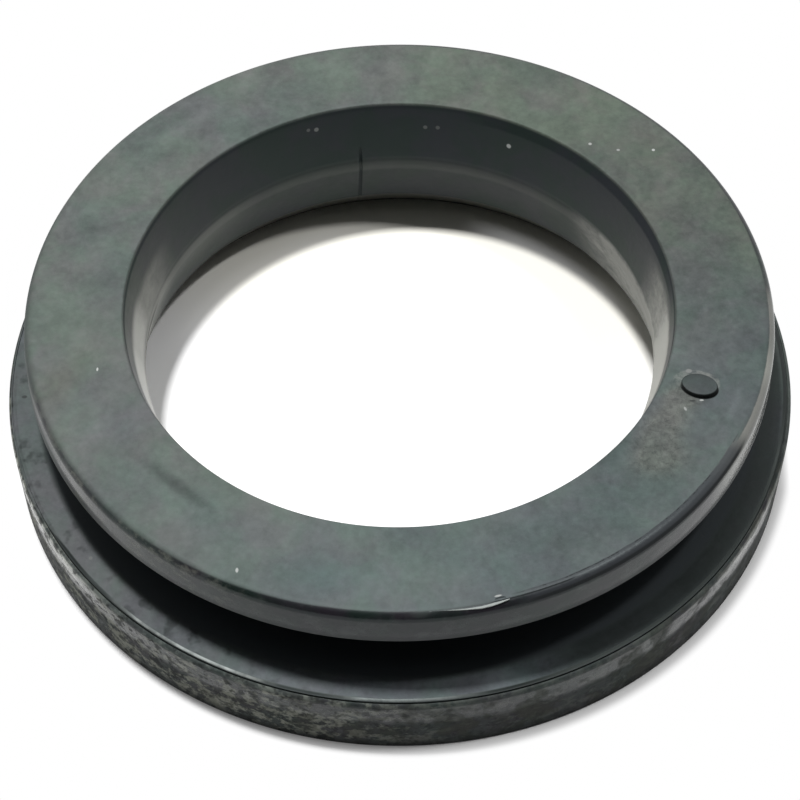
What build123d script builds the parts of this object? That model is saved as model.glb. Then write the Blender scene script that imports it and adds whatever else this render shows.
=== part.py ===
"""Fuel filler rubber ring: one moulded ring that lines the hole where a filler neck comes through
a body panel.

The outer groove between the two flanges takes the edge of the panel. The bore narrows from both ends
to a short waist, which grips the neck. Sizes are in millimetres. The ring lies on its wide foot
flange with +Z up, and the origin is the centre of its underside.
"""

import os
from math import radians, tan

from build123d import *

# Outside, from the foot up. A rim's radius is its widest, at the lower edge of the flange.
foot_flange_radius = 46.6
foot_flange_thickness = 8.7
foot_rim_draft = 4.6  # degrees, the rim leans in as it rises
groove_floor_radius = 36.0  # the hole in the panel
groove_width = 7.8
top_flange_radius = 43.3
top_flange_thickness = 4.5
top_rim_draft = 3.0  # degrees, the rim leans in as it rises

# Bore, from the top face down
mouth_radius = 31.8
mouth_depth = 7.8  # the upper taper, down to the waist
neck_radius = 30.0  # the waist, on the filler neck
waist_length = 1.5
flare_radius = 31.9  # the lower taper, where it meets the lead-in
lead_in_height = 4.6  # above the underside
lead_in_width = 3.3

# Edges. The other corners lie on the mould's parting lines and come out sharp.
top_rim_round = 1.2
foot_rim_bevel = 0.4
waist_round = 1.0
sharp = 0

# Gate mark, the low oval pip left on the top face where the mould was filled
gate_mark_distance = 35.9  # from the ring's axis
gate_mark_angle = -22.0  # degrees from +X
gate_mark_length = 4.1  # along the ring's radius
gate_mark_width = 3.0
gate_mark_height = 0.6
gate_mark_round = 0.2

groove_roof = foot_flange_thickness + groove_width
ring_height = groove_roof + top_flange_thickness
waist_top = ring_height - mouth_depth
waist_bottom = waist_top - waist_length
foot_bevel_base = foot_flange_thickness - foot_rim_bevel


def leaning_rim_radius(widest_radius, height, draft):
    """Radius of a rim that leans in by draft degrees, at this height above its lower edge."""
    return widest_radius - height * tan(radians(draft))


foot_bevel_radius = leaning_rim_radius(foot_flange_radius, foot_bevel_base, foot_rim_draft)
top_rim_radius = leaning_rim_radius(top_flange_radius, top_flange_thickness, top_rim_draft)

# The section's corners as (radius, height) and rounding, up the outside and then down the bore
section_corners = [
    ((foot_flange_radius, 0), sharp),
    ((foot_bevel_radius, foot_bevel_base), sharp),
    ((foot_bevel_radius - foot_rim_bevel, foot_flange_thickness), sharp),
    ((groove_floor_radius, foot_flange_thickness), sharp),
    ((groove_floor_radius, groove_roof), sharp),
    ((top_flange_radius, groove_roof), sharp),
    ((top_rim_radius, ring_height), top_rim_round),
    ((mouth_radius, ring_height), sharp),
    ((neck_radius, waist_top), waist_round),
    ((neck_radius, waist_bottom), waist_round),
    ((flare_radius, lead_in_height), sharp),
    ((flare_radius + lead_in_width, 0), sharp),
]

with BuildPart() as filler_ring:
    # The whole ring is one section turned about its axis
    with BuildSketch(Plane.XZ):
        with BuildLine():
            FilletPolyline(
                *[corner for corner, rounding in section_corners],
                radius=[rounding for corner, rounding in section_corners],
                close=True,
            )
        make_face()
    revolve(axis=Axis.Z)

    # The gate mark stands on the top face, with its rim rounded over
    with BuildSketch(Plane.XY.offset(ring_height)):
        with PolarLocations(gate_mark_distance, 1, start_angle=gate_mark_angle):
            Ellipse(gate_mark_length / 2, gate_mark_width / 2)
    extrude(amount=gate_mark_height)
    gate_mark_top = filler_ring.edges().sort_by(Axis.Z)[-1]
    fillet(gate_mark_top, radius=gate_mark_round)

filler_ring.part.label = "filler_ring"

os.makedirs("parts", exist_ok=True)
export_step(filler_ring.part, "parts/filler_ring.step")
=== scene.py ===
"""Fuel filler rubber ring: the moulded ring with its finish, and the table that it lies on."""

from math import acos, cos, degrees, hypot, pi, prod, radians, sin, tan

import bmesh
import bpy
from bpy.props import FloatProperty, FloatVectorProperty, IntProperty, PointerProperty
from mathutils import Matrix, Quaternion, Vector


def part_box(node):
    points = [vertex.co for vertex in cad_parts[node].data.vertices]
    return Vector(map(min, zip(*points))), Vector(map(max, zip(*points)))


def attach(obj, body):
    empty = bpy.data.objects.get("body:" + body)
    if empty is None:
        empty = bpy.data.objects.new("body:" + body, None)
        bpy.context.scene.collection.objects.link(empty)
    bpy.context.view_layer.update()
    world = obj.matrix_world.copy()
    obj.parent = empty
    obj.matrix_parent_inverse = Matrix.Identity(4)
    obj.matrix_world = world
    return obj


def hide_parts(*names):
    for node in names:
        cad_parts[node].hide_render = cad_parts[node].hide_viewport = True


bl_info = {
    "name": "Fuel filler rubber ring",
    "version": (1, 0, 0),
    "blender": (4, 5, 0),
    "location": "3D View > Sidebar > Filler ring",
    "description": "Moulds a rubber ring for a fuel filler neck and lights it on a white table",
    "category": "Add Mesh",
}

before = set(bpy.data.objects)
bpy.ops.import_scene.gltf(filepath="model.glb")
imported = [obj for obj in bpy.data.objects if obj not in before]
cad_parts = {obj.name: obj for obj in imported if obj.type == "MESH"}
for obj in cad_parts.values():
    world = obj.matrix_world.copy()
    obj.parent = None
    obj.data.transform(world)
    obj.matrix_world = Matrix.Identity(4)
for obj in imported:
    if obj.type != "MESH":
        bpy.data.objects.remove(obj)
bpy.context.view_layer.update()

NODE = "filler_ring"
BODY = "root"
lowest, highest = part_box(NODE)
FOOT_RADIUS = (highest.x - lowest.x) / 2

MILLIMETRE = 0.001
PER_MILLIMETRE = 1000.0

# how finely the ring is shaped
SAME_PLACE = 0.02 * MILLIMETRE
BEVEL_STEP = 0.16 * MILLIMETRE
LONGEST_SPAN = 1.6 * MILLIMETRE
SHOULDER_STEPS = 6
MARK_SIDES = 64
MARK_BEVEL_STEPS = 3
SHARP_EDGE = radians(40)

# the stage, in metres
WHITE = (1.0, 1.0, 1.0, 1.0)
TABLE_SIZE = 12.0
CARD_SIZE = (3.2, 1.7)
CARD_PLACE = (0, -1.0, 0.75)
CARD_TILT = radians(60)
CAMERA_PLACE = (0, -0.1565, 0.20427)
CAMERA_AIM = (0, 0, 0.00173)
CAMERA_ROLL = -0.0086  # radians
CAMERA_LENS = 94.1  # millimetres
CAMERA_SENSOR = 36.0  # millimetres wide
CAMERA_RANGE = (0.01, 30.0)

# tones that belong to one mark each, several of them painted light and painted shade, and the dullest gloss and
# the grain of the skin
PAINTED_SHEEN = (0.62, 0.62, 0.58)
RIM_HIGHLIGHT_GREY = (0.50, 0.51, 0.48)
FLASH_GLINT = (0.27, 0.29, 0.28)
LIP_HIGHLIGHT = (0.32, 0.34, 0.33)
EDGE_GREY = (0.024, 0.026, 0.030)
GREEN_STAIN = (0.030, 0.031, 0.022)
DEEP_SHADE = (0.004, 0.004, 0.004)
CRACK_SHADE = (0.004, 0.004, 0.005)
WALL_SHADE = (0.002, 0.002, 0.002)
DULL_ROUGHNESS = 0.85
BUMP_HEIGHT = 0.06 * MILLIMETRE


def length_prop(name, description, millimetres):
    return FloatProperty(name=name, description=description, default=millimetres * MILLIMETRE,
                         unit="LENGTH", subtype="DISTANCE")


def angle_prop(name, description, turn):
    """An angle whose default is given in degrees."""
    return FloatProperty(name=name, description=description, default=radians(turn),
                         unit="ROTATION", subtype="ANGLE")


def colour_prop(name, description, colour):
    return FloatVectorProperty(name=name, description=description, default=colour,
                               size=3, min=0.0, max=1.0, subtype="COLOR")


def factor_prop(name, description, factor):
    return FloatProperty(name=name, description=description, default=factor,
                         min=0.0, max=1.0, subtype="FACTOR")


def level_prop(name, description, level):
    return FloatProperty(name=name, description=description, default=level, min=0.0)


def place_prop(name, description, place):
    return FloatVectorProperty(name=name, description=description, default=place,
                               size=3, subtype="XYZ", unit="LENGTH")


class RingSizes(bpy.types.PropertyGroup):
    """The ring's section, from the foot up, and its gate mark."""

    foot_radius: length_prop("Foot radius", "Widest radius of the foot flange", FOOT_RADIUS * PER_MILLIMETRE)
    foot_thickness: length_prop("Foot thickness", "Thickness of the foot flange", 8.7)
    foot_shoulder: length_prop("Foot shoulder", "Rounding of the foot's rim, softened by use", 0.6)
    groove_floor_radius: length_prop("Groove floor radius", "Radius of the groove's floor", 36.0)
    groove_width: length_prop("Groove width", "Height of the groove between the flanges", 7.8)
    top_radius: length_prop("Top radius", "Widest radius of the top flange", 43.3)
    top_thickness: length_prop("Top thickness", "Thickness of the top flange", 4.5)
    top_draft: angle_prop("Top draft", "How far the top flange's rim leans in", 3.0)
    mouth_radius: length_prop("Mouth radius", "Radius of the bore at the top face", 31.8)
    mouth_depth: length_prop("Mouth depth", "Depth of the bore's upper taper", 7.8)
    neck_radius: length_prop("Neck radius", "Radius of the waist that grips the filler neck", 30.0)
    waist_length: length_prop("Waist length", "Height of the waist", 1.5)
    flare_radius: length_prop("Flare radius", "Radius at the foot of the lower taper", 31.9)
    lead_in_height: length_prop("Lead-in height", "Height of the lead-in above the underside", 4.6)
    lead_in_width: length_prop("Lead-in width", "How far the lead-in opens outwards", 3.3)
    top_rim_round: length_prop("Top rim round", "Rounding of the top flange's upper edge", 1.2)
    mouth_round: length_prop("Mouth round", "Rounding of the bore's upper edge", 0.25)
    waist_round: length_prop("Waist round", "Rounding where the tapers meet the waist, softened by use", 3.0)
    lip_width: length_prop("Lip width", "Width of the slope along the foot flange's upper edge", 0.42)
    lip_drop: length_prop("Lip drop", "How far that slope falls", 0.10)
    parting_inset: length_prop("Parting line inset", "From the foot's widest radius to the parting line", 0.42)
    parting_width: length_prop("Parting line width", "Width of the parting line outside the lip", 0.16)
    parting_depth: length_prop("Parting line depth", "Depth of the parting line", 0.18)
    small_round: length_prop("Small round", "Rounding of the almost sharp edges", 0.2)
    segments: IntProperty(name="Segments", description="Faces round the ring", default=288, min=48, max=512)
    mark_distance: length_prop("Gate mark distance", "From the ring's axis to the gate mark", 35.9)
    mark_angle: angle_prop("Gate mark angle", "Place of the gate mark round the ring, from +X", -22.0)
    mark_length: length_prop("Gate mark length", "Length of the gate mark along the ring's radius", 4.1)
    mark_width: length_prop("Gate mark width", "Width of the gate mark", 3.0)
    mark_height: length_prop("Gate mark height", "Height of the gate mark over the top face", 0.6)
    mark_tilt: angle_prop("Gate mark tilt", "How far the gate mark's outer end is tipped up", 3.5)


class RingMarks(bpy.types.PropertyGroup):
    """Marks that moulding and wear have left on the ring."""

    seam_angle: angle_prop("Seam angle", "Place of the mould seam round the bore, from +X", 99.0)
    seam_width: length_prop("Seam width", "Width of the mould seam", 0.36)
    seam_depth: length_prop("Seam depth", "Depth of the mould seam", 0.14)
    seam_top: length_prop("Seam top", "Height at which the mould seam starts", 15.0)
    flash_start: angle_prop("Flash start", "Where the torn strip of flash lifts off the edge, from +X", -87.5)
    flash_end: angle_prop("Flash end", "Place of the strip's free tip, from +X", -74.8)
    flash_width: length_prop("Flash width", "Widest width of the strip", 0.38)
    flash_thickness: length_prop("Flash thickness", "Thickness of the strip", 0.14)
    flash_lift: length_prop("Flash lift", "How far the free tip stands off the edge", 0.28)
    pit_angle: angle_prop("Pit angle", "Place of the pit beside the strip's tip, from +X", -76.0)
    pit_length: length_prop("Pit length", "Length of that pit", 1.2)
    pit_width: length_prop("Pit width", "Width of that pit", 0.36)


class RubberFinish(bpy.types.PropertyGroup):
    """Colours and gloss of the rubber, of the bloom on its flat faces and of the dirt on it; the groove's
    colour and the pale dust and sheen also paint light.
    """

    rubber: colour_prop("Rubber", "Clean moulded rubber", (0.0085, 0.0105, 0.0100))
    bloom: colour_prop("Bloom", "Pale bloom and dust on the flat faces", (0.072, 0.084, 0.079))
    # the groove's colour is lighter than the clean rubber: painted light in the shaded groove
    groove: colour_prop("Groove", "Rubber inside the panel groove", (0.024, 0.028, 0.032))
    dirt: colour_prop("Dirt", "Brown dirt low on the rims and in the bore", (0.075, 0.069, 0.056))
    crust: colour_prop("Crust", "Dried dirt on the foot's rim", (0.175, 0.180, 0.150))
    # pale dust, also used as painted sheen and painted highlights in the bore and on the top rim's right end
    dust_and_sheen: colour_prop("Dust", "Pale dust on the walls of the bore", (0.240, 0.240, 0.220))
    bloom_roughness: factor_prop("Bloom roughness", "Roughness of the dusty flat faces", 0.62)
    rubber_roughness: factor_prop("Rubber roughness", "Roughness of the clean skin", 0.36)
    polish_roughness: factor_prop("Polish roughness", "Roughness where handling has polished the rims", 0.11)


class StageLight(bpy.types.PropertyGroup):
    """The two lamps over the table and the light of the room."""

    key_place: place_prop("Key lamp", "Place of the stronger lamp", (-0.081, 0.047, 0.56))
    key_level: level_prop("Key level", "Light of the stronger lamp, where 1 shows colours as written", 1.1)
    fill_place: place_prop("Fill lamp", "Place of the weaker lamp", (0.24, -0.006, 0.60))
    fill_level: level_prop("Fill level", "Light of the weaker lamp on the table", 0.25)
    lamp_width: length_prop("Lamp width", "Width of both lamps", 60.0)
    room_level: level_prop("Room level", "Soft light from the rest of the room", 0.2)


GROUPS = {"ring_sizes": RingSizes, "ring_marks": RingMarks, "rubber_finish": RubberFinish,
          "stage_light": StageLight}


# ---- Mesh work ----


def deselect_all():
    bpy.ops.object.select_all(action="DESELECT")


def select_alone(piece):
    """Selects one piece and nothing else, and makes it the active one."""
    deselect_all()
    piece.select_set(True)
    bpy.context.view_layer.objects.active = piece


def settle(piece, scale=(1, 1, 1)):
    """Scales a piece, and puts its place, turn and size into its mesh."""
    piece.scale = scale
    bpy.ops.object.transform_apply(location=True, rotation=True, scale=True)


def start_editing(piece):
    """Opens one piece alone in edit mode."""
    select_alone(piece)
    bpy.ops.object.mode_set(mode="EDIT")
    bpy.ops.mesh.select_mode(type="EDGE")


def stop_editing():
    bpy.ops.object.mode_set(mode="OBJECT")


def select_edges(piece, wanted):
    """In edit mode, selects the edges that wanted(first place, second place) picks. Returns how many."""
    bpy.ops.mesh.select_all(action="DESELECT")
    shape = bmesh.from_edit_mesh(piece.data)
    count = 0
    for edge in shape.edges:
        if wanted(edge.verts[0].co, edge.verts[1].co):
            edge.select_set(True)
            count += 1
    shape.select_flush_mode()
    bmesh.update_edit_mesh(piece.data)
    return count


def bevel_selected(offset, steps):
    bpy.ops.mesh.bevel(offset_type="OFFSET", offset=offset, segments=steps, profile=0.5,
                       affect="EDGES", clamp_overlap=False)


def radius_of(place):
    return hypot(place.x, place.y)


def top_height(sizes):
    """Height of the top face."""
    return sizes.foot_thickness + sizes.groove_width + sizes.top_thickness


def waist_ends(sizes):
    """Height of the waist's upper and lower end."""
    waist_top = top_height(sizes) - sizes.mouth_depth
    return waist_top, waist_top - sizes.waist_length


def top_edge_radius(sizes):
    """Radius at which the top flange's leaning rim would reach the top face without its rounding."""
    return sizes.top_radius - sizes.top_thickness * tan(sizes.top_draft)


def foot_shoulder(sizes):
    """The foot's shoulder, rounded over as far as the parting line, as (radius, height, rounding)."""
    size = sizes.foot_shoulder
    centre_radius = sizes.foot_radius - size
    centre_height = sizes.foot_thickness - sizes.lip_drop - size
    last_turn = acos(1 - sizes.parting_inset / size)
    turns = [last_turn * step / SHOULDER_STEPS for step in range(SHOULDER_STEPS + 1)]
    return [(centre_radius + size * cos(turn), centre_height + size * sin(turn), 0) for turn in turns]


def ring_section(sizes):
    """The section's corners as (radius, height, rounding), up the outside and then down the bore."""
    groove_roof = sizes.foot_thickness + sizes.groove_width
    waist_top, waist_bottom = waist_ends(sizes)
    small = sizes.small_round
    tiny = small / 4

    # the parting line beyond the shoulder, and the lip inside it
    shoulder = foot_shoulder(sizes)
    parting_outside = shoulder[-1][0]
    parting_floor = shoulder[-1][1] - sizes.parting_depth
    lip_radius = parting_outside - sizes.parting_width
    return [
        (sizes.foot_radius, 0, small),
        *shoulder,
        (parting_outside - sizes.parting_width / 4, parting_floor, 0),
        (lip_radius + sizes.parting_width / 4, parting_floor, 0),
        (lip_radius, sizes.foot_thickness - sizes.lip_drop, tiny),
        (lip_radius - sizes.lip_width, sizes.foot_thickness, tiny),
        (sizes.groove_floor_radius, sizes.foot_thickness, small),
        (sizes.groove_floor_radius, groove_roof, small),
        (sizes.top_radius, groove_roof, small),
        (top_edge_radius(sizes), top_height(sizes), sizes.top_rim_round),
        (sizes.mouth_radius, top_height(sizes), sizes.mouth_round),
        (sizes.neck_radius, waist_top, sizes.waist_round),
        (sizes.neck_radius, waist_bottom, sizes.waist_round),
        (sizes.flare_radius, sizes.lead_in_height, small),
        (sizes.flare_radius + sizes.lead_in_width, 0, small),
    ]


def turn_section(corners, segments):
    """A closed ring with the section's corners sharp, drawn out loop by loop."""
    radius, height = corners[0][:2]
    deselect_all()
    bpy.ops.mesh.primitive_circle_add(vertices=segments, radius=radius, location=(0, 0, 0))
    ring = bpy.context.object
    start_editing(ring)
    bpy.ops.mesh.select_all(action="SELECT")
    for next_radius, next_height, rounding in corners[1:] + corners[:1]:
        growth = next_radius / radius
        bpy.ops.mesh.extrude_region_move(TRANSFORM_OT_translate={"value": (0, 0, next_height - height)})
        bpy.ops.transform.resize(value=(growth, growth, 1))
        radius, height = next_radius, next_height
    bpy.ops.mesh.select_all(action="SELECT")
    bpy.ops.mesh.remove_doubles(threshold=SAME_PLACE)
    bpy.ops.mesh.normals_make_consistent(inside=False)
    stop_editing()
    return ring


def setback(before, corner, after, rounding):
    """How far from a corner a rounding starts."""
    arriving = Vector(corner[:2]) - Vector(before[:2])
    leaving = Vector(after[:2]) - Vector(corner[:2])
    return rounding * tan(arriving.angle(leaving) / 2)


def round_corners(ring, corners):
    """Rounds each edge loop of the section to its own radius."""
    start_editing(ring)
    for index, corner in enumerate(corners):
        radius, height, rounding = corner
        if not rounding:
            continue

        def on_corner(first, second):
            return all(abs(radius_of(place) - radius) < SAME_PLACE and abs(place.z - height) < SAME_PLACE
                       for place in (first, second))

        if not select_edges(ring, on_corner):
            raise RuntimeError(f"the section has no edge at radius {radius:.4f}, height {height:.4f}")
        offset = setback(corners[index - 1], corner, corners[(index + 1) % len(corners)], rounding)
        bevel_selected(offset, max(2, round(rounding / BEVEL_STEP)))
    stop_editing()


def divide_spans(ring):
    """Halves every stretch of the section that is too long, until none is."""
    def along_section(first, second):
        turn = abs(first.x * second.y - first.y * second.x) / (radius_of(first) * radius_of(second))
        return turn < 1e-4 and (first - second).length > LONGEST_SPAN

    start_editing(ring)
    while select_edges(ring, along_section):
        bpy.ops.mesh.subdivide(number_cuts=1)
    stop_editing()


def apply_modifier(piece, kind, name, **settings):
    """Adds one modifier with its settings and applies it."""
    select_alone(piece)
    modifier = piece.modifiers.new(name, kind)
    for setting, value in settings.items():
        setattr(modifier, setting, value)
    bpy.ops.object.modifier_apply(modifier=modifier.name)


def combine(piece, tool, operation):
    """Joins a tool body to the piece, or cuts it out of the piece, and throws the tool away."""
    apply_modifier(piece, "BOOLEAN", operation.lower(), operation=operation, solver="EXACT", object=tool)
    bpy.data.objects.remove(tool)


def place_at(radius, angle, height):
    """A place from its distance to the ring's axis, its angle from +X and its height."""
    return (radius * cos(angle), radius * sin(angle), height)


def raise_gate_mark(ring, sizes):
    """The low oval pip on the top face."""
    top = top_height(sizes)
    root = sizes.mark_height / 2
    deselect_all()
    bpy.ops.mesh.primitive_cylinder_add(
        vertices=MARK_SIDES, radius=1, depth=sizes.mark_height + root,
        location=place_at(sizes.mark_distance, sizes.mark_angle, top + (sizes.mark_height - root) / 2),
        rotation=(0, -sizes.mark_tilt, sizes.mark_angle))
    mark = bpy.context.object
    settle(mark, (sizes.mark_length / 2, sizes.mark_width / 2, 1))
    start_editing(mark)
    select_edges(mark, lambda first, second: min(first.z, second.z) > top)
    bevel_selected(sizes.small_round, MARK_BEVEL_STEPS)
    stop_editing()
    combine(ring, mark, "UNION")


def draw_out(profile, path):
    """Draws a flat profile out along a path of (place, growth) steps into a closed bar."""
    start_editing(profile)
    bpy.ops.mesh.select_all(action="SELECT")
    here = Vector(path[0][0])
    for place, growth in path[1:]:
        bpy.ops.mesh.extrude_region_move(TRANSFORM_OT_translate={"value": Vector(place) - here})
        here = Vector(place)
        bpy.ops.transform.resize(value=(growth,) * 3, center_override=here)
    bpy.ops.mesh.select_all(action="SELECT")
    bpy.ops.mesh.normals_make_consistent(inside=False)
    stop_editing()


def cut_seam(ring, sizes, marks):
    """The mould seam, a fine groove down the bore from the upper taper to the lead-in."""
    waist_top, waist_bottom = waist_ends(sizes)
    slope = (sizes.mouth_radius - sizes.neck_radius) / sizes.mouth_depth
    line = [
        (sizes.neck_radius + (marks.seam_top - waist_top) * slope, marks.seam_top),
        (sizes.neck_radius, waist_top),
        (sizes.neck_radius, waist_bottom),
        (sizes.flare_radius, sizes.lead_in_height - sizes.small_round),
    ]
    reach = 4 * marks.seam_depth
    path = [(place_at(radius + marks.seam_depth - reach / 2, marks.seam_angle, height), 1)
            for radius, height in line]
    deselect_all()
    bpy.ops.mesh.primitive_plane_add(size=1, location=path[0][0], rotation=(0, 0, marks.seam_angle))
    cutter = bpy.context.object
    settle(cutter, (reach, marks.seam_width, 1))
    draw_out(cutter, path)
    combine(ring, cutter, "DIFFERENCE")


def tear_flash(ring, sizes, marks):
    """The strip of flash along the top edge, torn loose at one end."""
    edge = sizes.top_rim_round

    def on_edge(share, inset, lift):
        """A place on the rounded edge, at a share of the way along the strip."""
        out = inset * edge
        fall = edge - (edge ** 2 - out ** 2) ** 0.5
        return place_at(top_edge_radius(sizes) - edge + out,
                        marks.flash_start + share * (marks.flash_end - marks.flash_start),
                        top_height(sizes) - fall + lift * marks.flash_lift)

    steps = [
        # share along the strip, how far round the edge it lies, lift, growth of the profile
        (0.0, 0.36, -0.25, 1.0), (0.14, 0.40, -0.12, 2.6), (0.34, 0.46, 0.0, 1.35), (0.52, 0.54, 0.1, 1.3),
        (0.68, 0.60, 0.2, 1.25), (0.80, 0.60, 0.4, 0.92), (0.90, 0.57, 0.7, 0.72), (1.0, 0.52, 1.0, 0.35)]
    path = [(on_edge(share, inset, lift), growth) for share, inset, lift, growth in steps]
    first = marks.flash_width / prod(growth for place, growth in path if growth > 1)
    deselect_all()
    # the profile stands across the strip, leaning a little with the edge
    bpy.ops.mesh.primitive_plane_add(size=1, location=path[0][0], rotation=(radians(14), radians(90), 0))
    strip = bpy.context.object
    settle(strip, (first * marks.flash_thickness / marks.flash_width, first, 1))
    draw_out(strip, path)
    combine(ring, strip, "UNION")


def tear_pit(ring, sizes, marks):
    """The pit that the flash left beside its tip."""
    distance = top_edge_radius(sizes) - sizes.top_rim_round + 0.2 * sizes.top_rim_round
    deselect_all()
    bpy.ops.mesh.primitive_uv_sphere_add(
        segments=32, ring_count=16, radius=1,
        location=place_at(distance, marks.pit_angle, top_height(sizes)),
        rotation=(0, 0, marks.pit_angle + pi / 2))
    pit = bpy.context.object
    settle(pit, (marks.pit_length / 2, marks.pit_width / 2, marks.pit_width / 2))
    combine(ring, pit, "DIFFERENCE")


def mould_ring(sizes, marks):
    """The whole ring as one closed mesh."""
    corners = ring_section(sizes)
    ring = turn_section(corners, sizes.segments)
    round_corners(ring, corners)
    divide_spans(ring)
    raise_gate_mark(ring, sizes)
    cut_seam(ring, sizes, marks)
    tear_flash(ring, sizes, marks)
    tear_pit(ring, sizes, marks)
    select_alone(ring)
    bpy.ops.object.shade_smooth_by_angle(angle=SHARP_EDGE)
    apply_modifier(ring, "WEIGHTED_NORMAL", "flat_faces", weight=90, keep_sharp=True)
    ring.name = "ring_rubber"
    ring.data.name = "ring_rubber"
    return ring


# ---- Shader work ----


class Wire:
    """A number or colour that runs between nodes. An expression on numbers adds the Math nodes it needs."""

    def __init__(self, sketch, socket):
        self.sketch = sketch
        self.socket = socket

    def math(self, operation, *others, clamp=False):
        return self.sketch.node("Math", {"operation": operation, "use_clamp": clamp},
                                dict(enumerate((self, *others))))

    def __add__(self, other):
        return self.math("ADD", other)

    def __radd__(self, other):
        return self + other

    def __sub__(self, other):
        return self.math("SUBTRACT", other)

    def __rsub__(self, other):
        return self.sketch.node("Math", {"operation": "SUBTRACT"}, {0: other, 1: self})

    def __mul__(self, other):
        return self.math("MULTIPLY", other)

    def __rmul__(self, other):
        return self * other

    def __truediv__(self, other):
        return self.math("DIVIDE", other)

    def __abs__(self):
        return self.math("ABSOLUTE")

    def clamped(self):
        return self.math("ADD", 0.0, clamp=True)

    def step(self, start, end):
        """0 before start and 1 past end, with a smooth run between. The run falls if end is before start."""
        return self.sketch.node("MapRange", {"interpolation_type": "SMOOTHSTEP", "clamp": True},
                                {"Value": self, "From Min": start, "From Max": end}, "Result")

    def band(self, start, end, fade):
        """1 between start and end, with soft ends."""
        return self.step(start - fade, start + fade) * self.step(end + fade, end - fade)


def tone(colour):
    """A colour for a socket, from a wire or from red, green and blue."""
    return colour if isinstance(colour, Wire) else (*colour, 1.0)


class Sketch:
    """One node tree, filled by naming each node with its settings and sockets."""

    def __init__(self, tree):
        self.tree = tree
        self.tree.nodes.clear()

    def node(self, kind, settings=None, sockets=None, output=0):
        """Adds a node. Settings are set first, then each socket takes a value or a wire."""
        added = self.tree.nodes.new("ShaderNode" + kind)
        for name, value in (settings or {}).items():
            setattr(added, name, value)
        for name, value in (sockets or {}).items():
            if isinstance(value, Wire):
                self.tree.links.new(value.socket, added.inputs[name])
            else:
                added.inputs[name].default_value = value
        return Wire(self, added.outputs[output]) if added.outputs else added

    def blend(self, factor, first, second, how="MIX"):
        """Two colours mixed by a factor."""
        return self.node("Mix", {"data_type": "RGBA", "blend_type": how},
                         {"Factor": factor, 6: tone(first), 7: tone(second)}, 2)

    def number(self, factor, first, second):
        """Two numbers mixed by a factor."""
        return self.node("Mix", {"data_type": "FLOAT"}, {"Factor": factor, 2: first, 3: second})

    def vector(self, operation, first, second=None, **more):
        """Work on vectors. A length or a dot product comes out as a number."""
        sockets = {0: first, **more}
        if second is not None:
            sockets[1] = second
        output = "Value" if operation in ("LENGTH", "DOT_PRODUCT") else 0
        return self.node("VectorMath", {"operation": operation}, sockets, output)


def new_material(name):
    material = bpy.data.materials.new(name)
    material.use_nodes = True
    return material


def on_ring(angle, radius, height):
    """A place in millimetres from its angle in degrees, its radius and its height."""
    return place_at(radius, radians(angle), height)


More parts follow.
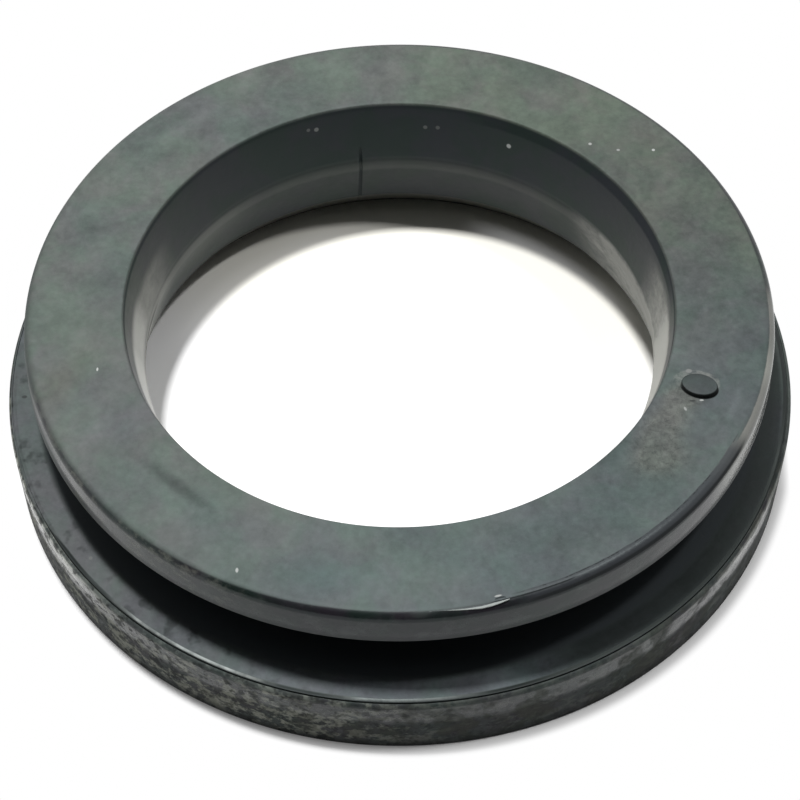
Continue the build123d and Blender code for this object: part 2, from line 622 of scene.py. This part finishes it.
class Skin(Sketch):
    """The ring's skin, which knows its own place on the ring. Lengths are in millimetres, angles in degrees."""

    def __init__(self, tree, sizes):
        super().__init__(tree)
        self.foot = sizes.foot_thickness * PER_MILLIMETRE
        self.roof = self.foot + sizes.groove_width * PER_MILLIMETRE
        self.top = self.roof + sizes.top_thickness * PER_MILLIMETRE
        self.waist = self.top - sizes.mouth_depth * PER_MILLIMETRE
        self.lead_in = sizes.lead_in_height * PER_MILLIMETRE
        self.groove_floor = sizes.groove_floor_radius * PER_MILLIMETRE
        self.lip = (sizes.foot_radius - sizes.parting_inset - sizes.parting_width
                    - sizes.lip_width) * PER_MILLIMETRE

        metres = self.node("TexCoord", output="Object")
        self.place = self.vector("SCALE", metres, Scale=PER_MILLIMETRE)
        self.radius = self.vector("LENGTH", self.vector("MULTIPLY", self.place, (1, 1, 0)))
        self.height = self.node("SeparateXYZ", sockets={0: self.place}, output="Z")

        # slow and fine unevenness about 0, and streaks about 0.5
        self.clouds = self.noise(11.0, 3.0, 0.5, seed=1.0) - 0.5
        self.patches = self.noise(3.2, 4.0, 0.62, 0.5, seed=4.0) - 0.5
        self.grain = self.noise(0.8, 4.0, 0.65, seed=2.0) - 0.5
        self.hues = self.noise(5.5, 4.0, 0.62, 0.5, seed=7.0) - 0.5
        stretched = self.vector("MULTIPLY", self.place, (1, 1, 1.5))
        self.streaks = self.noise(1.8, 5.0, 0.7, seed=6.0, place=stretched)

        self.find_flat_faces()
        self.find_walls()
        self.find_wear()
        self.find_gate_mark(sizes)

    def noise(self, size, detail, roughness, distortion=0.0, seed=0.0, place=None):
        """Cloudy noise about 0.5. Size is the width of one cloud."""
        return self.node("TexNoise", {"noise_dimensions": "4D", "normalize": True},
                         {"Vector": place or self.place, "W": seed, "Scale": 1.0 / size, "Detail": detail,
                          "Roughness": roughness, "Distortion": distortion}, "Fac")

    def within(self, middle, turn, half_sizes):
        """Where a point lies within a turned oval, whose edge is 1 away from its middle."""
        return self.node("Mapping", {"vector_type": "TEXTURE"}, {
            "Vector": self.place, "Location": middle, "Rotation": (0, 0, turn), "Scale": half_sizes})

    def blot(self, angle, radius, height, turn, length, width, depth=1.0):
        """1 in the middle of an oval patch and 0 outside it. Its sizes are from its middle out."""
        local = self.within(on_ring(angle, radius, height), radians(turn), (length, width, depth))
        return self.vector("LENGTH", local).step(1.0, 0.0)

    def along(self, angle):
        """How far a point lies from the ring's axis in the direction of an angle."""
        return self.vector("DOT_PRODUCT", self.place, on_ring(angle, 1, 0))

    def toward(self, angle):
        """Cosine of the turn round the ring's axis from an angle."""
        return self.along(angle) / self.radius

    def sector(self, angle, full, none):
        """1 within this many degrees of an angle, and 0 past that many."""
        return self.toward(angle).step(cos(radians(none)), cos(radians(full)))

    def find_flat_faces(self):
        """The top face and the foot's face, with their ragged edges."""
        height, radius, sector = self.height, self.radius, self.sector
        self.worn_edge = sector(-51, 19, 24)
        bloom_edge = radius - self.toward(180).step(0.0, 0.95) * 0.55 + self.clouds * 0.4 + self.grain * 0.2
        worn = self.worn_edge * (radius + self.grain * 0.3 + self.patches * 0.4).step(41.80, 41.92)
        on_top = height.step(self.top - 0.5, self.top - 0.05) * bloom_edge.step(42.42, 42.18)
        self.on_top = on_top * (1.0 - worn)

        self.on_foot_plane = abs(height - self.foot).step(0.1, 0.03)
        dusty_end = sector(-174, 18, 30)
        lip_edge = radius - dusty_end * 0.7
        on_foot = (self.on_foot_plane + height.step(self.foot - 0.8, self.foot - 0.4) * dusty_end).clamped()
        on_foot = on_foot * radius.step(42.6, 43.6) * lip_edge.step(self.lip + 0.1, self.lip - 0.1)
        right_end = sector(4, 12, 24) * radius.step(44.0, 45.6)
        # painted shade: bloom cut back on the foot's right front, where it lies in shade
        self.on_foot = on_foot * (1.0 - sector(-30, 31, 43) * (0.8 - right_end * 0.7))
        self.flat = (self.on_top + self.on_foot).clamped()

    def find_walls(self):
        """The groove, the two rims and the bore."""
        height, radius = self.height, self.radius
        in_groove = height.band(self.foot + 0.05, self.roof + 0.05, 0.1) * radius.step(43.0, 42.0)
        in_groove += self.on_foot_plane * radius.step(43.6, 42.6)
        inner_wall = radius.step(self.groove_floor - 0.6, self.groove_floor - 0.3)
        self.in_groove = (in_groove * inner_wall).clamped()
        self.outside = radius.step(self.groove_floor + 5, self.groove_floor + 6)
        self.top_rim = self.outside * (1.0 - self.flat) * height.step(self.roof - 0.2, self.roof + 0.2)
        foot_rim = self.outside * radius.step(self.lip + 0.46, self.lip + 0.54)
        self.foot_rim = foot_rim * height.step(self.foot + 0.4, self.foot + 0.2) * (1.0 - self.flat)
        self.in_bore = radius.step(self.groove_floor, self.groove_floor - 0.5)
        self.in_bore *= height.step(self.top - 0.1, self.top - 0.5)
        self.below = self.in_bore * height.step(self.lead_in + 0.2, self.lead_in - 0.2)

    def find_wear(self):
        """The marks of wear that show in both the colour and the gloss, and the places where shade and
        highlights are painted.
        """
        height, sector = self.height, self.sector
        scuffed = self.blot(-33.5, 34.4, self.top, 57, 9.0, 3.8) * 1.3
        scuffed += self.blot(-39, 36.8, self.top, 30, 5.0, 3.6) * 1.2
        scuffed += self.blot(-25, 34.6, self.top, 0, 3.6, 2.6)
        self.scuffed = scuffed.clamped() * self.on_top

        # painted shade in the crease under the waist at the bore's left end
        self.shaded_crease = sector(180, 8, 16) * height.band(11.4, 12.1, 0.3) * self.in_bore
        self.rim_left = self.top_rim * sector(-143, 18, 36)
        crusted_side = sector(-140, 24, 60)
        self.crust = self.foot_rim * (crusted_side * 0.85 + 0.15)
        pits = self.noise(1.1, 4.0, 0.65, seed=12.0).step(0.49, 0.62) * self.foot_rim
        self.pits = pits * (0.4 + crusted_side * 0.6)
        self.stains = self.foot_rim * self.patches.step(-0.03, 0.10) * sector(-60, 40, 70) * 0.5

        # painted shade in dark lines on both sides of the worn band along the top edge
        band_radius = self.radius + self.patches * 0.2
        cracks = self.worn_edge * height.band(self.top - 0.75, self.top - 0.35, 0.12)
        cracks += self.worn_edge * band_radius.band(41.9, 42.0, 0.05) * self.streaks.step(0.47, 0.53)
        cracks = (cracks + sector(-71, 5, 7) * band_radius.band(42.25, 42.4, 0.06)).clamped()
        self.cracks = cracks * self.outside * height.step(self.top - 1.0, self.top - 0.9)

        on_lip = self.radius.band(self.lip + 0.02, self.lip + 0.30, 0.06)
        self.on_lip = on_lip * height.step(self.foot - 0.3, self.foot - 0.2)

    def find_gate_mark(self, sizes):
        """The gate mark, with painted shade on the wall of it that lies in shade and towards the back of its
        top, and the pale halo behind it.
        """
        middle = place_at(sizes.mark_distance * PER_MILLIMETRE, sizes.mark_angle, self.top)
        half_sizes = (sizes.mark_length * PER_MILLIMETRE / 2, sizes.mark_width * PER_MILLIMETRE / 2, 20.0)
        around = self.within(middle, sizes.mark_angle, half_sizes)
        from_mark = self.vector("LENGTH", around)
        behind = self.vector("DOT_PRODUCT", around, (-0.45, 0.89, 0))
        on_mark = from_mark.step(1.02, 0.98)
        # painted shade on the mark's front wall
        self.mark_wall_shade = from_mark.band(0.95, 1.07, 0.03) * behind.step(0.5, -0.2)
        halo = (from_mark - behind.step(0.0, 1.0) * 0.34).step(1.28, 1.12) * (1.0 - on_mark)
        halo *= behind.step(-0.5, 0.3)
        self.mark_halo = (halo * (self.grain * 1.5 + 0.17)).clamped()
        # clean cut rubber on the mark's top, with painted shade towards its back edge
        self.mark_face_and_shade = on_mark * (from_mark.step(0.3, 1.0) * behind.step(0.0, 0.9) * 0.3 + 0.45)


def clean(skin, finish):
    """Clean rubber, lightened in the groove as painted light in its shade, and with slow changes of hue on the
    rims and in the bore.
    """
    hue = (skin.hues * 6.0 + 0.5).clamped()
    base = skin.blend(skin.in_groove, finish.rubber, finish.groove)
    rim_hues = skin.blend(hue, (0.0135, 0.0115, 0.0150), (0.0080, 0.0130, 0.0115))
    base = skin.blend((skin.top_rim + skin.foot_rim).clamped(), base, rim_hues)
    bore_hues = skin.blend(hue, (0.0095, 0.0110, 0.0165), (0.0045, 0.0120, 0.0105))
    return skin.blend(skin.in_bore * 0.85, base, bore_hues)


def bloom_light_and_shade(skin, finish):
    """Pale bloom on the flat faces, with smears, slow changes of hue and a scuffed patch, painted shade towards
    the right and painted light on the foot where the top flange shades it.
    """
    scuffed, top = skin.scuffed, skin.top
    level = 1.0 + skin.clouds * 0.8 + skin.patches + skin.grain * 0.9
    # painted shade: the bloom is darker towards the right, away from the key lamp
    level -= skin.toward(-20).step(0.0, 0.95) * 0.22
    smears = (
        # angle, radius, height, turn of the long side, half sizes, how much lighter
        (131, 38.3, top, 41, 9.0, 1.8, 0.30),
        (-133, 35.6, top, -42, 8.5, 1.3, -0.60),
        (-152, 37.5, top, 60, 7.0, 2.6, 0.10),
        (-60, 38.5, top, 20, 8.0, 2.2, -0.12),
        (-24, 40.2, top, 66, 4.2, 0.7, 0.22),
        (60, 38.0, top, -30, 7.0, 2.4, 0.08),
        (90, 38.0, top, 0, 14.0, 4.5, 0.12),
        # painted light lifting the top flange's shadow on the foot's face
        (-76, 44.7, skin.foot, 14, 4.0, 1.8, 0.9),
    )
    for *patch, strength in smears:
        level += skin.blot(*patch) * strength

    tint = skin.blend((skin.hues * 5.0 + 0.5).clamped(), (1.06, 0.97, 1.04), (0.945, 1.025, 0.98))
    washes = (
        # cover, tint
        ((skin.clouds * 5.0 + 0.5).clamped(), (1.02, 1.01, 0.95)),
        (skin.sector(-55, 10, 75), (0.93, 1.0, 1.07)),
        (skin.sector(45, 10, 60), (1.0, 1.0, 0.92)),
        (skin.on_foot, (1.0, 0.95, 1.05)),
        (skin.blot(-150, 34.5, top, 30, 7.0, 4.0), (1.05, 0.98, 1.07)),
        (skin.blot(-129, 36.5, top, -40, 9.0, 5.0), (0.90, 1.01, 1.00)),
        (skin.blot(-162, 40.0, top, 60, 9.0, 3.5), (1.02, 1.01, 0.92)),
        (skin.blot(-100, 38.5, top, 0, 10.0, 4.5), (0.94, 1.00, 1.04)),
        (skin.blot(118, 37.0, top, 20, 10.0, 5.0), (1.02, 0.99, 1.03)),
    )
    for cover, wash in washes:
        tint = skin.blend(cover, tint, wash, "MULTIPLY")

    spots = skin.noise(1.9, 2.0, 0.5, seed=9.0).step(0.53, 0.66)
    level -= spots * skin.on_foot * skin.sector(-160, 30, 75) * 0.55
    wrinkles = abs(skin.noise(1.5, 3.0, 0.6, 1.2, seed=11.0) - 0.5)
    level = level + scuffed * 0.28 - wrinkles.step(0.05, 0.0) * scuffed * 0.25 + skin.grain * scuffed * 1.3
    bloom = skin.vector("SCALE", skin.vector("MULTIPLY", tint, tuple(finish.bloom)), Scale=level)
    brown = skin.vector("SCALE", tuple(finish.dirt), Scale=level)
    return skin.blend(scuffed * 0.5, bloom, brown)


def bore_dust_and_light(skin):
    """How pale the bore is: a trace of dust behind, and painted light, namely a painted highlight along the
    ridge under the waist and painted reflections of the lit table low on both walls and at the ends.
    """
    height, sector, streaks = skin.height, skin.sector, skin.streaks
    speckled = 1.0 + (streaks - 0.5) * 3.0
    lower = height.step(skin.waist - 0.1, skin.waist - 0.8)
    above_lead_in = height.step(skin.lead_in, skin.lead_in + 0.5)
    ridge_highlight = height.band(skin.waist - 2.0, skin.waist - 0.7, 0.5)
    right_lower = height.step(skin.waist + 0.4, skin.waist - 0.5)
    # a trace of dust on the lower taper, and the painted highlight along the ridge under the waist
    dust_and_sheen = lower * above_lead_in * 0.05 + ridge_highlight * 0.11
    # painted reflection of the lit table low on the right wall
    dust_and_sheen += right_lower * sector(5, 18, 42) * speckled * (0.7 + height.step(7.0, 10.0) * 0.35)
    # partly dust, partly painted sheen high on the right wall
    dust_and_sheen += height.step(18.9, 17.6) * (sector(-8, 8, 26) * 0.65 + sector(-13, 5, 14)) * speckled
    # painted reflection of the lit table low on the left wall
    dust_and_sheen += lower * above_lead_in * sector(165, 20, 42) * (0.12 + height.step(7.0, 12.0) * 0.12)
    # painted light at the bore's left end, where the wall catches the light of the table
    dust_and_sheen += height.step(17.8, 16.0) * sector(-175, 12, 32) * (0.6 + (streaks - 0.5) * 0.9)
    dust_and_sheen += height.band(5.2, 9.5, 0.6) * sector(-176, 8, 18) * 0.7
    return (dust_and_sheen * skin.in_bore).clamped()


def dirt(skin, finish):
    """Dust and dirt on the walls, with painted light and painted shade among them, from the first layer to the
    last, as (cover, colour).
    """
    height, sector, streaks = skin.height, skin.sector, skin.streaks
    above_waist = height.band(13.4, 17.4, 0.7)
    # painted light: pale sheen at the bore's left and right ends, where the walls catch the light of the table
    painted_bore_sheen = sector(-176, 8, 18) * height.band(5.6, 9.8, 0.6)
    painted_bore_sheen += (sector(-170, 10, 18) * 0.65 + sector(-164, 4, 10) * 0.35) * above_waist
    painted_bore_sheen += sector(-12, 5, 14) * height.band(11.4, 18.0, 0.6) * 0.45

    shoulder = skin.foot_rim * height.step(8.0, 8.3) * (1.0 - sector(-15, 12, 34) * 0.7)
    shoulder = shoulder * (0.3 + sector(-128, 10, 32) * 0.5) * (0.4 + streaks.step(0.40, 0.56) * 0.6)
    shoulder += skin.foot_rim * height.step(7.8, 8.2) * sector(4, 12, 24) * 0.6
    # painted highlight high on the foot's rim at its left and right ends
    painted_rim_highlight = height.band(6.8, 8.36, 0.12) * (sector(-153, 8, 20) + sector(-28, 7, 15) * 0.4)
    painted_rim_highlight = skin.foot_rim * painted_rim_highlight * (0.5 + streaks.step(0.42, 0.56) * 0.5)
    # darker towards the bottom of the foot's rim: painted shade
    sole_shade = skin.foot_rim * height.step(2.2, 0.3)
    return (
        # brown dirt on the lead-in, which also lifts its shade as painted light
        (skin.below * 0.5, finish.dirt),
        (bore_dust_and_light(skin), finish.dust_and_sheen),
        (painted_bore_sheen * skin.in_bore * 0.6, PAINTED_SHEEN),
        # painted shade in the crease under the waist
        (skin.shaded_crease * 0.6, finish.rubber),
        (skin.top_rim * skin.patches.step(-0.02, 0.14) * 0.25, finish.bloom),
        # painted highlight: the top rim's right end reflecting the lit table
        (skin.top_rim * sector(-8, 6, 11) * 0.5, finish.dust_and_sheen),
        (skin.top_rim * sector(178, 12, 24) * 0.75, finish.bloom),
        # painted highlight high on the top rim's right end
        (skin.top_rim * sector(-24, 8, 16) * height.step(17.0, 18.4) * 0.6, finish.dust_and_sheen),
        (skin.rim_left * streaks.step(0.48, 0.60) * 0.3, finish.crust),
        (skin.crust * streaks.step(0.47, 0.58) * 0.9, finish.crust),
        (skin.stains, GREEN_STAIN),
        (shoulder.clamped(), finish.bloom),
        (painted_rim_highlight, RIM_HIGHLIGHT_GREY),
        # painted shade in the pits and low on the foot's rim
        ((skin.pits * 0.7 + sole_shade * 0.8).clamped(), DEEP_SHADE),
    )


def torn_flash(skin, sizes):
    """Where the skin stands proud of the rounded top edge."""
    lean = sizes.top_draft
    edge_size = sizes.top_rim_round * PER_MILLIMETRE
    edge_radius = top_edge_radius(sizes) * PER_MILLIMETRE + edge_size * (tan(lean) - 1 / cos(lean))
    out = skin.radius - edge_radius
    up = skin.height - (skin.top - edge_size)
    proud = (out * out + up * up).step((edge_size + 0.03) ** 2, (edge_size + 0.06) ** 2)
    return proud * out.step(0.0, 0.1) * up.step(0.1, 0.2) * skin.sector(-81, 7, 8)


def small_marks(skin, finish, sizes):
    """The gate mark with its painted shade, the worn grey band with painted shade along it, and painted
    highlights on the torn flash and the lip, as (cover, colour).
    """
    edge_band = skin.worn_edge * skin.radius.step(41.7, 41.9) * skin.height.step(skin.top - 0.8, skin.top - 0.5)
    glint_breaks = 0.35 + skin.noise(2.6, 3.0, 0.6, seed=15.0).step(0.40, 0.62) * 0.65
    return (
        (skin.mark_halo, finish.dust_and_sheen),
        (skin.mark_face_and_shade, finish.rubber),
        (skin.mark_wall_shade * 0.95, WALL_SHADE),
        (edge_band * (1.0 - skin.on_top) * 0.9, EDGE_GREY),
        (skin.cracks * 0.9, CRACK_SHADE),
        # painted highlight on the torn flash
        (torn_flash(skin, sizes) * 0.9, FLASH_GLINT),
        # painted highlight along the lip, broken into pieces
        (skin.on_lip * glint_breaks * (skin.sector(-121, 6, 15) * 0.85 + skin.sector(-90, 4, 12) * 0.2), LIP_HIGHLIGHT),
        (skin.on_lip * skin.sector(-42, 22, 34) * 0.5, finish.bloom),
    )


def specks(skin):
    """Loose specks and small dark spots, as (cover, colour)."""
    top = skin.top
    dots = (
        # angle, radius, height, turn of the long side, half sizes, tone
        (46.1, 33.9, top, 0, 0.30, 0.30, 0.30),
        (41.0, 35.6, top, 0, 0.30, 0.25, 0.25),
        (36.8, 38.9, top, 0, 0.28, 0.28, 0.36),
        (-114.8, 40.9, top, 0, 0.22, 0.42, 0.34),
        (108.9, 31.25, top - 2.3, 0, 0.42, 0.42, 0.15),
        (110.8, 31.3, top - 2.1, 0, 0.34, 0.34, 0.09),
        (83.6, 31.05, top - 3.3, 0, 0.38, 0.38, 0.09),
        (80.7, 31.05, top - 3.2, 0, 0.38, 0.38, 0.08),
        (63.5, 30.95, top - 3.6, 0, 0.42, 0.42, 0.36),
        (-141.8, 44.2, skin.foot, 0, 0.30, 0.34, 0.12),
        (-174.3, 44.7, skin.foot, 0, 0.46, 0.34, 0.018),
        (-19.0, 34.2, top, 0, 0.50, 0.42, 0.15),
        (-24.6, 36.7, top, 0, 0.34, 0.18, 0.32),
        (-25.4, 35.8, top, 0, 0.50, 0.16, 0.01),
        (-27.6, 35.5, top, 20, 0.20, 0.40, 0.24),
        (-76.2, 41.75, top, 14, 0.55, 0.16, 0.30),
        (171.0, 32.1, top - 0.2, 0, 0.25, 0.20, 0.36),
        (-163.3, 35.4, top, 0, 0.16, 0.36, 0.40),
    )
    for *place, length, width, lightness in dots:
        dot = skin.blot(*place, length, width, depth=max(length, width)).step(0.0, 0.5)
        yield dot * 0.9, (lightness, lightness * 1.03, lightness)


def polish(skin):
    """Where handling has polished the rims."""
    left_end = skin.sector(-157, 9, 24)
    rim_ends = skin.sector(-152, 12, 24) + skin.sector(-26, 10, 20)
    polished = skin.top_rim * (skin.height + left_end * -0.9).band(skin.top - 3.6, skin.top - 0.5, 0.3)
    polished += skin.foot_rim * skin.height.band(5.6, 8.0, 0.4) * (0.7 - rim_ends * 0.1)
    return (polished * (skin.sector(-15, 25, 37) * 0.35 + left_end * 0.35 + 0.65)).clamped()


def dullness(skin, marks):
    """Where dirt, wear and mould marks have dulled the skin."""
    height, sector, foot_rim = skin.height, skin.sector, skin.foot_rim
    dull = skin.top_rim * height.step(skin.top - 2.6, skin.top - 3.6) * sector(-157, 9, 24) * 0.7
    dull += foot_rim * height.step(7.9, 8.3) * (0.3 + sector(-17, 12, 20) * 0.6)
    dull += foot_rim * height.step(5.7, 4.6) * 0.7
    dull += foot_rim * (sector(-6, 8, 18) + height.step(5.1, 6.2) * sector(-14, 6, 14))
    dull += foot_rim * skin.stains
    dull += skin.on_lip * (sector(-50, 22, 36) + sector(-158, 14, 22) + sector(-105, 6, 10) * 0.6)
    dull += skin.outside * (1.0 - skin.flat) * sector(180, 14, 22)

    right_wall = sector(38, 22, 44)
    land = height.band(skin.top - 1.8, skin.top - 0.1, 0.25) * right_wall
    land += height.band(skin.top - 0.8, skin.top - 0.2, 0.2) * (1.0 - right_wall) * 0.7
    seam_angle = degrees(marks.seam_angle)
    seam_top = marks.seam_top * PER_MILLIMETRE
    seam = abs(skin.along(seam_angle + 90)).step(0.3, 0.18)
    seam = seam * height.step(seam_top, seam_top - 2.0) * sector(seam_angle, 40, 80)
    dull += skin.in_bore * (land * 0.9 + seam + skin.shaded_crease)
    return (dull + skin.mark_wall_shade + skin.cracks + skin.pits * 0.6).clamped()


def gloss(skin, finish, marks):
    """How rough the skin is, from the polished rims to the dusty faces."""
    lower = skin.in_bore * skin.height.step(skin.waist + 0.2, skin.waist - 0.4)
    matt = (skin.flat + skin.below + skin.in_groove + lower * 0.7 + skin.in_bore * 0.35).clamped()
    roughness = skin.number(matt, finish.rubber_roughness, finish.bloom_roughness)
    roughness = skin.number(polish(skin), roughness, finish.polish_roughness)
    roughness = skin.number(dullness(skin, marks), roughness, DULL_ROUGHNESS)
    roughness = roughness + skin.grain * 0.12 + skin.patches * 0.12
    return (roughness + (skin.crust * 1.2 + skin.rim_left * 0.7) * (skin.streaks - 0.5)).clamped()


def rubber(finish, sizes, marks):
    """Black moulded rubber with pale bloom on its flat faces, dirt low down and the marks of wear."""
    material = new_material("moulded_rubber")
    skin = Skin(material.node_tree, sizes)
    base = clean(skin, finish)
    layers = (*dirt(skin, finish), (skin.flat, bloom_light_and_shade(skin, finish)),
              *small_marks(skin, finish, sizes), *specks(skin))
    for cover, colour in layers:
        base = skin.blend(cover, base, colour)

    bumps = skin.grain * (0.6 + (skin.top_rim + skin.foot_rim) * 0.5 + skin.scuffed * 2.5) + skin.patches * 0.8
    bumps += skin.crust * skin.streaks * 3.0
    bump = skin.node("Bump", sockets={"Strength": 0.5, "Distance": BUMP_HEIGHT, "Height": bumps})
    shader = skin.node("BsdfPrincipled", sockets={
        "Base Color": base, "Roughness": gloss(skin, finish, marks), "Normal": bump,
        "Specular IOR Level": 0.3, "Specular Tint": (0.88, 1.0, 0.99, 1.0)})
    skin.node("OutputMaterial", sockets={"Surface": shader})
    return material


# ---- Stage ----


def seen_directly(sketch):
    """1 for rays from the camera, off gloss and through glass, and 0 for the rest."""
    def ray(kind):
        return sketch.node("LightPath", output=kind)
    return (ray("Is Camera Ray") + ray("Is Glossy Ray") + ray("Is Transmission Ray")).clamped()


def white_table():
    """White board that is lit near the ring and glows white from just past its rim, which lifts the ring's cast
    shadow there; with painted light on its right side and inside the ring, and a painted warm tint in the shade
    behind the ring.
    """
    material = new_material("white_board")
    sketch = Sketch(material.node_tree)
    place = sketch.node("TexCoord", output="Object")
    distance = sketch.vector("LENGTH", place)
    rim = FOOT_RADIUS

    def toward(x, y):
        return sketch.vector("DOT_PRODUCT", place, (x, y, 0)) / distance

    # painted light: on the right the glow starts sooner, lifting the ring's cast shadow there
    lit_side = toward(1, 0.1).step(0.93, 0.98) * distance.step(rim - 0.0002, rim + 0.0008)
    far = distance.step(rim - 0.0008, rim + 0.0014) * 0.4 + distance.step(rim + 0.0005, rim + 0.0018) * 0.6
    # painted light: a glow that lifts the shade inside the ring
    inside = toward(0.67, 0.74).step(0.88, 0.985) * distance.step(rim * 0.722, rim * 0.67) * 0.16
    inside += toward(-0.64, 0.77).step(0.80, 0.95) * distance.step(rim * 0.69, rim * 0.62) * 0.09
    far = (far + lit_side * 0.6 + inside).clamped() * seen_directly(sketch)
    # painted warm bounce: the board is tinted brown in the shade behind the ring's back wall
    warm = distance.step(rim * 0.80, rim * 0.76) * toward(0.2, 1).step(0.1, 0.7) * seen_directly(sketch)
    colour = sketch.blend(warm, (0.92, 0.92, 0.92), (0.92, 0.905, 0.83))
    board = sketch.node("BsdfDiffuse", sockets={"Color": colour})
    glow = sketch.node("Emission", sockets={"Color": WHITE, "Strength": 1.0})
    surface = sketch.node("MixShader", sockets={0: far, 1: board, 2: glow})
    sketch.node("OutputMaterial", sockets={"Surface": surface})
    return material


def dark_card():
    material = new_material("dark_card")
    sketch = Sketch(material.node_tree)
    board = sketch.node("BsdfDiffuse", sockets={"Color": tone((0.02, 0.02, 0.02))})
    sketch.node("OutputMaterial", sockets={"Surface": board})
    return material


def lay_table():
    deselect_all()
    bpy.ops.mesh.primitive_plane_add(size=TABLE_SIZE, location=(0, 0, 0))
    table = bpy.context.object
    table.name = "table"
    table.data.materials.append(white_table())


def hang_card():
    """A dark card before the ring, behind the camera, as the dark side of the room."""
    deselect_all()
    bpy.ops.mesh.primitive_plane_add(size=1.0, location=CARD_PLACE, rotation=(CARD_TILT, 0, 0))
    card = bpy.context.object
    settle(card, (*CARD_SIZE, 1))
    card.name = "dark_card"
    card.visible_camera = False
    card.data.materials.append(dark_card())


def stand(data, place, turn):
    """Puts a lamp or the camera at its place, turned by a quaternion."""
    stood = bpy.data.objects.new(data.name, data)
    bpy.context.collection.objects.link(stood)
    stood.location = place
    stood.rotation_mode = "QUATERNION"
    stood.rotation_quaternion = turn
    return stood


def hang_lamp(name, place, level, width):
    """A square lamp that looks at the ring, with this level of light on the table below it."""
    place = Vector(place)
    lamp = bpy.data.lights.new(name, "AREA")
    lamp.shape = "SQUARE"
    lamp.size = width
    lamp.energy = level * (pi * place.length) ** 2
    stand(lamp, place, Vector((0, 0, 1)).rotation_difference(place))


def light_room(light):
    """Plain white all round, which the camera and gloss see at full strength."""
    world = bpy.data.worlds.new("room")
    bpy.context.scene.world = world
    world.use_nodes = True
    sketch = Sketch(world.node_tree)
    strength = light.room_level + seen_directly(sketch) * (1.0 - light.room_level)
    glow = sketch.node("Background", sockets={"Color": WHITE, "Strength": strength})
    sketch.node("OutputWorld", sockets={"Surface": glow})


def stand_camera():
    camera = bpy.data.cameras.new("camera")
    camera.lens = CAMERA_LENS
    camera.sensor_width = CAMERA_SENSOR
    camera.clip_start, camera.clip_end = CAMERA_RANGE
    look = (Vector(CAMERA_AIM) - Vector(CAMERA_PLACE)).to_track_quat("-Z", "Y")
    bpy.context.scene.camera = stand(camera, CAMERA_PLACE, look @ Quaternion((0, 0, 1), CAMERA_ROLL))


# ---- Add-on ----


class FILLERRING_OT_mould_ring(bpy.types.Operator):
    """Mould the ring and give it its finish"""

    bl_idname = "filler_ring.mould_ring"
    bl_label = "Mould the ring"

    def execute(self, context):
        scene = context.scene
        ring = mould_ring(scene.ring_sizes, scene.ring_marks)
        ring.data.materials.clear()
        ring.data.materials.append(rubber(scene.rubber_finish, scene.ring_sizes, scene.ring_marks))
        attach(ring, BODY)
        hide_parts(NODE)
        return {"FINISHED"}


class FILLERRING_OT_set_stage(bpy.types.Operator):
    """Lay the table, hang the card and the lamps, and stand the camera"""

    bl_idname = "filler_ring.set_stage"
    bl_label = "Set the stage"

    def execute(self, context):
        light = context.scene.stage_light
        lay_table()
        hang_card()
        hang_lamp("key_lamp", light.key_place, light.key_level, light.lamp_width)
        hang_lamp("fill_lamp", light.fill_place, light.fill_level, light.lamp_width)
        light_room(light)
        stand_camera()
        context.scene.view_settings.view_transform = "Standard"
        return {"FINISHED"}


class FILLERRING_PT_sidebar(bpy.types.Panel):
    """The ring's sizes, finish and stage"""

    bl_label = "Filler ring"
    bl_space_type = "VIEW_3D"
    bl_region_type = "UI"
    bl_category = "Filler ring"

    def draw(self, context):
        for group_name in GROUPS:
            group = getattr(context.scene, group_name)
            box = self.layout.box()
            for name in group.__annotations__:
                box.prop(group, name)
        self.layout.operator(FILLERRING_OT_mould_ring.bl_idname)
        self.layout.operator(FILLERRING_OT_set_stage.bl_idname)


CLASSES = (*GROUPS.values(), FILLERRING_OT_mould_ring, FILLERRING_OT_set_stage, FILLERRING_PT_sidebar)


def register():
    for added in CLASSES:
        bpy.utils.register_class(added)
    for name, group in GROUPS.items():
        setattr(bpy.types.Scene, name, PointerProperty(type=group))


def unregister():
    for name in GROUPS:
        delattr(bpy.types.Scene, name)
    for added in reversed(CLASSES):
        bpy.utils.unregister_class(added)


def main():
    register()
    bpy.ops.filler_ring.mould_ring()
    bpy.ops.filler_ring.set_stage()


if __name__ == "__main__":
    main()
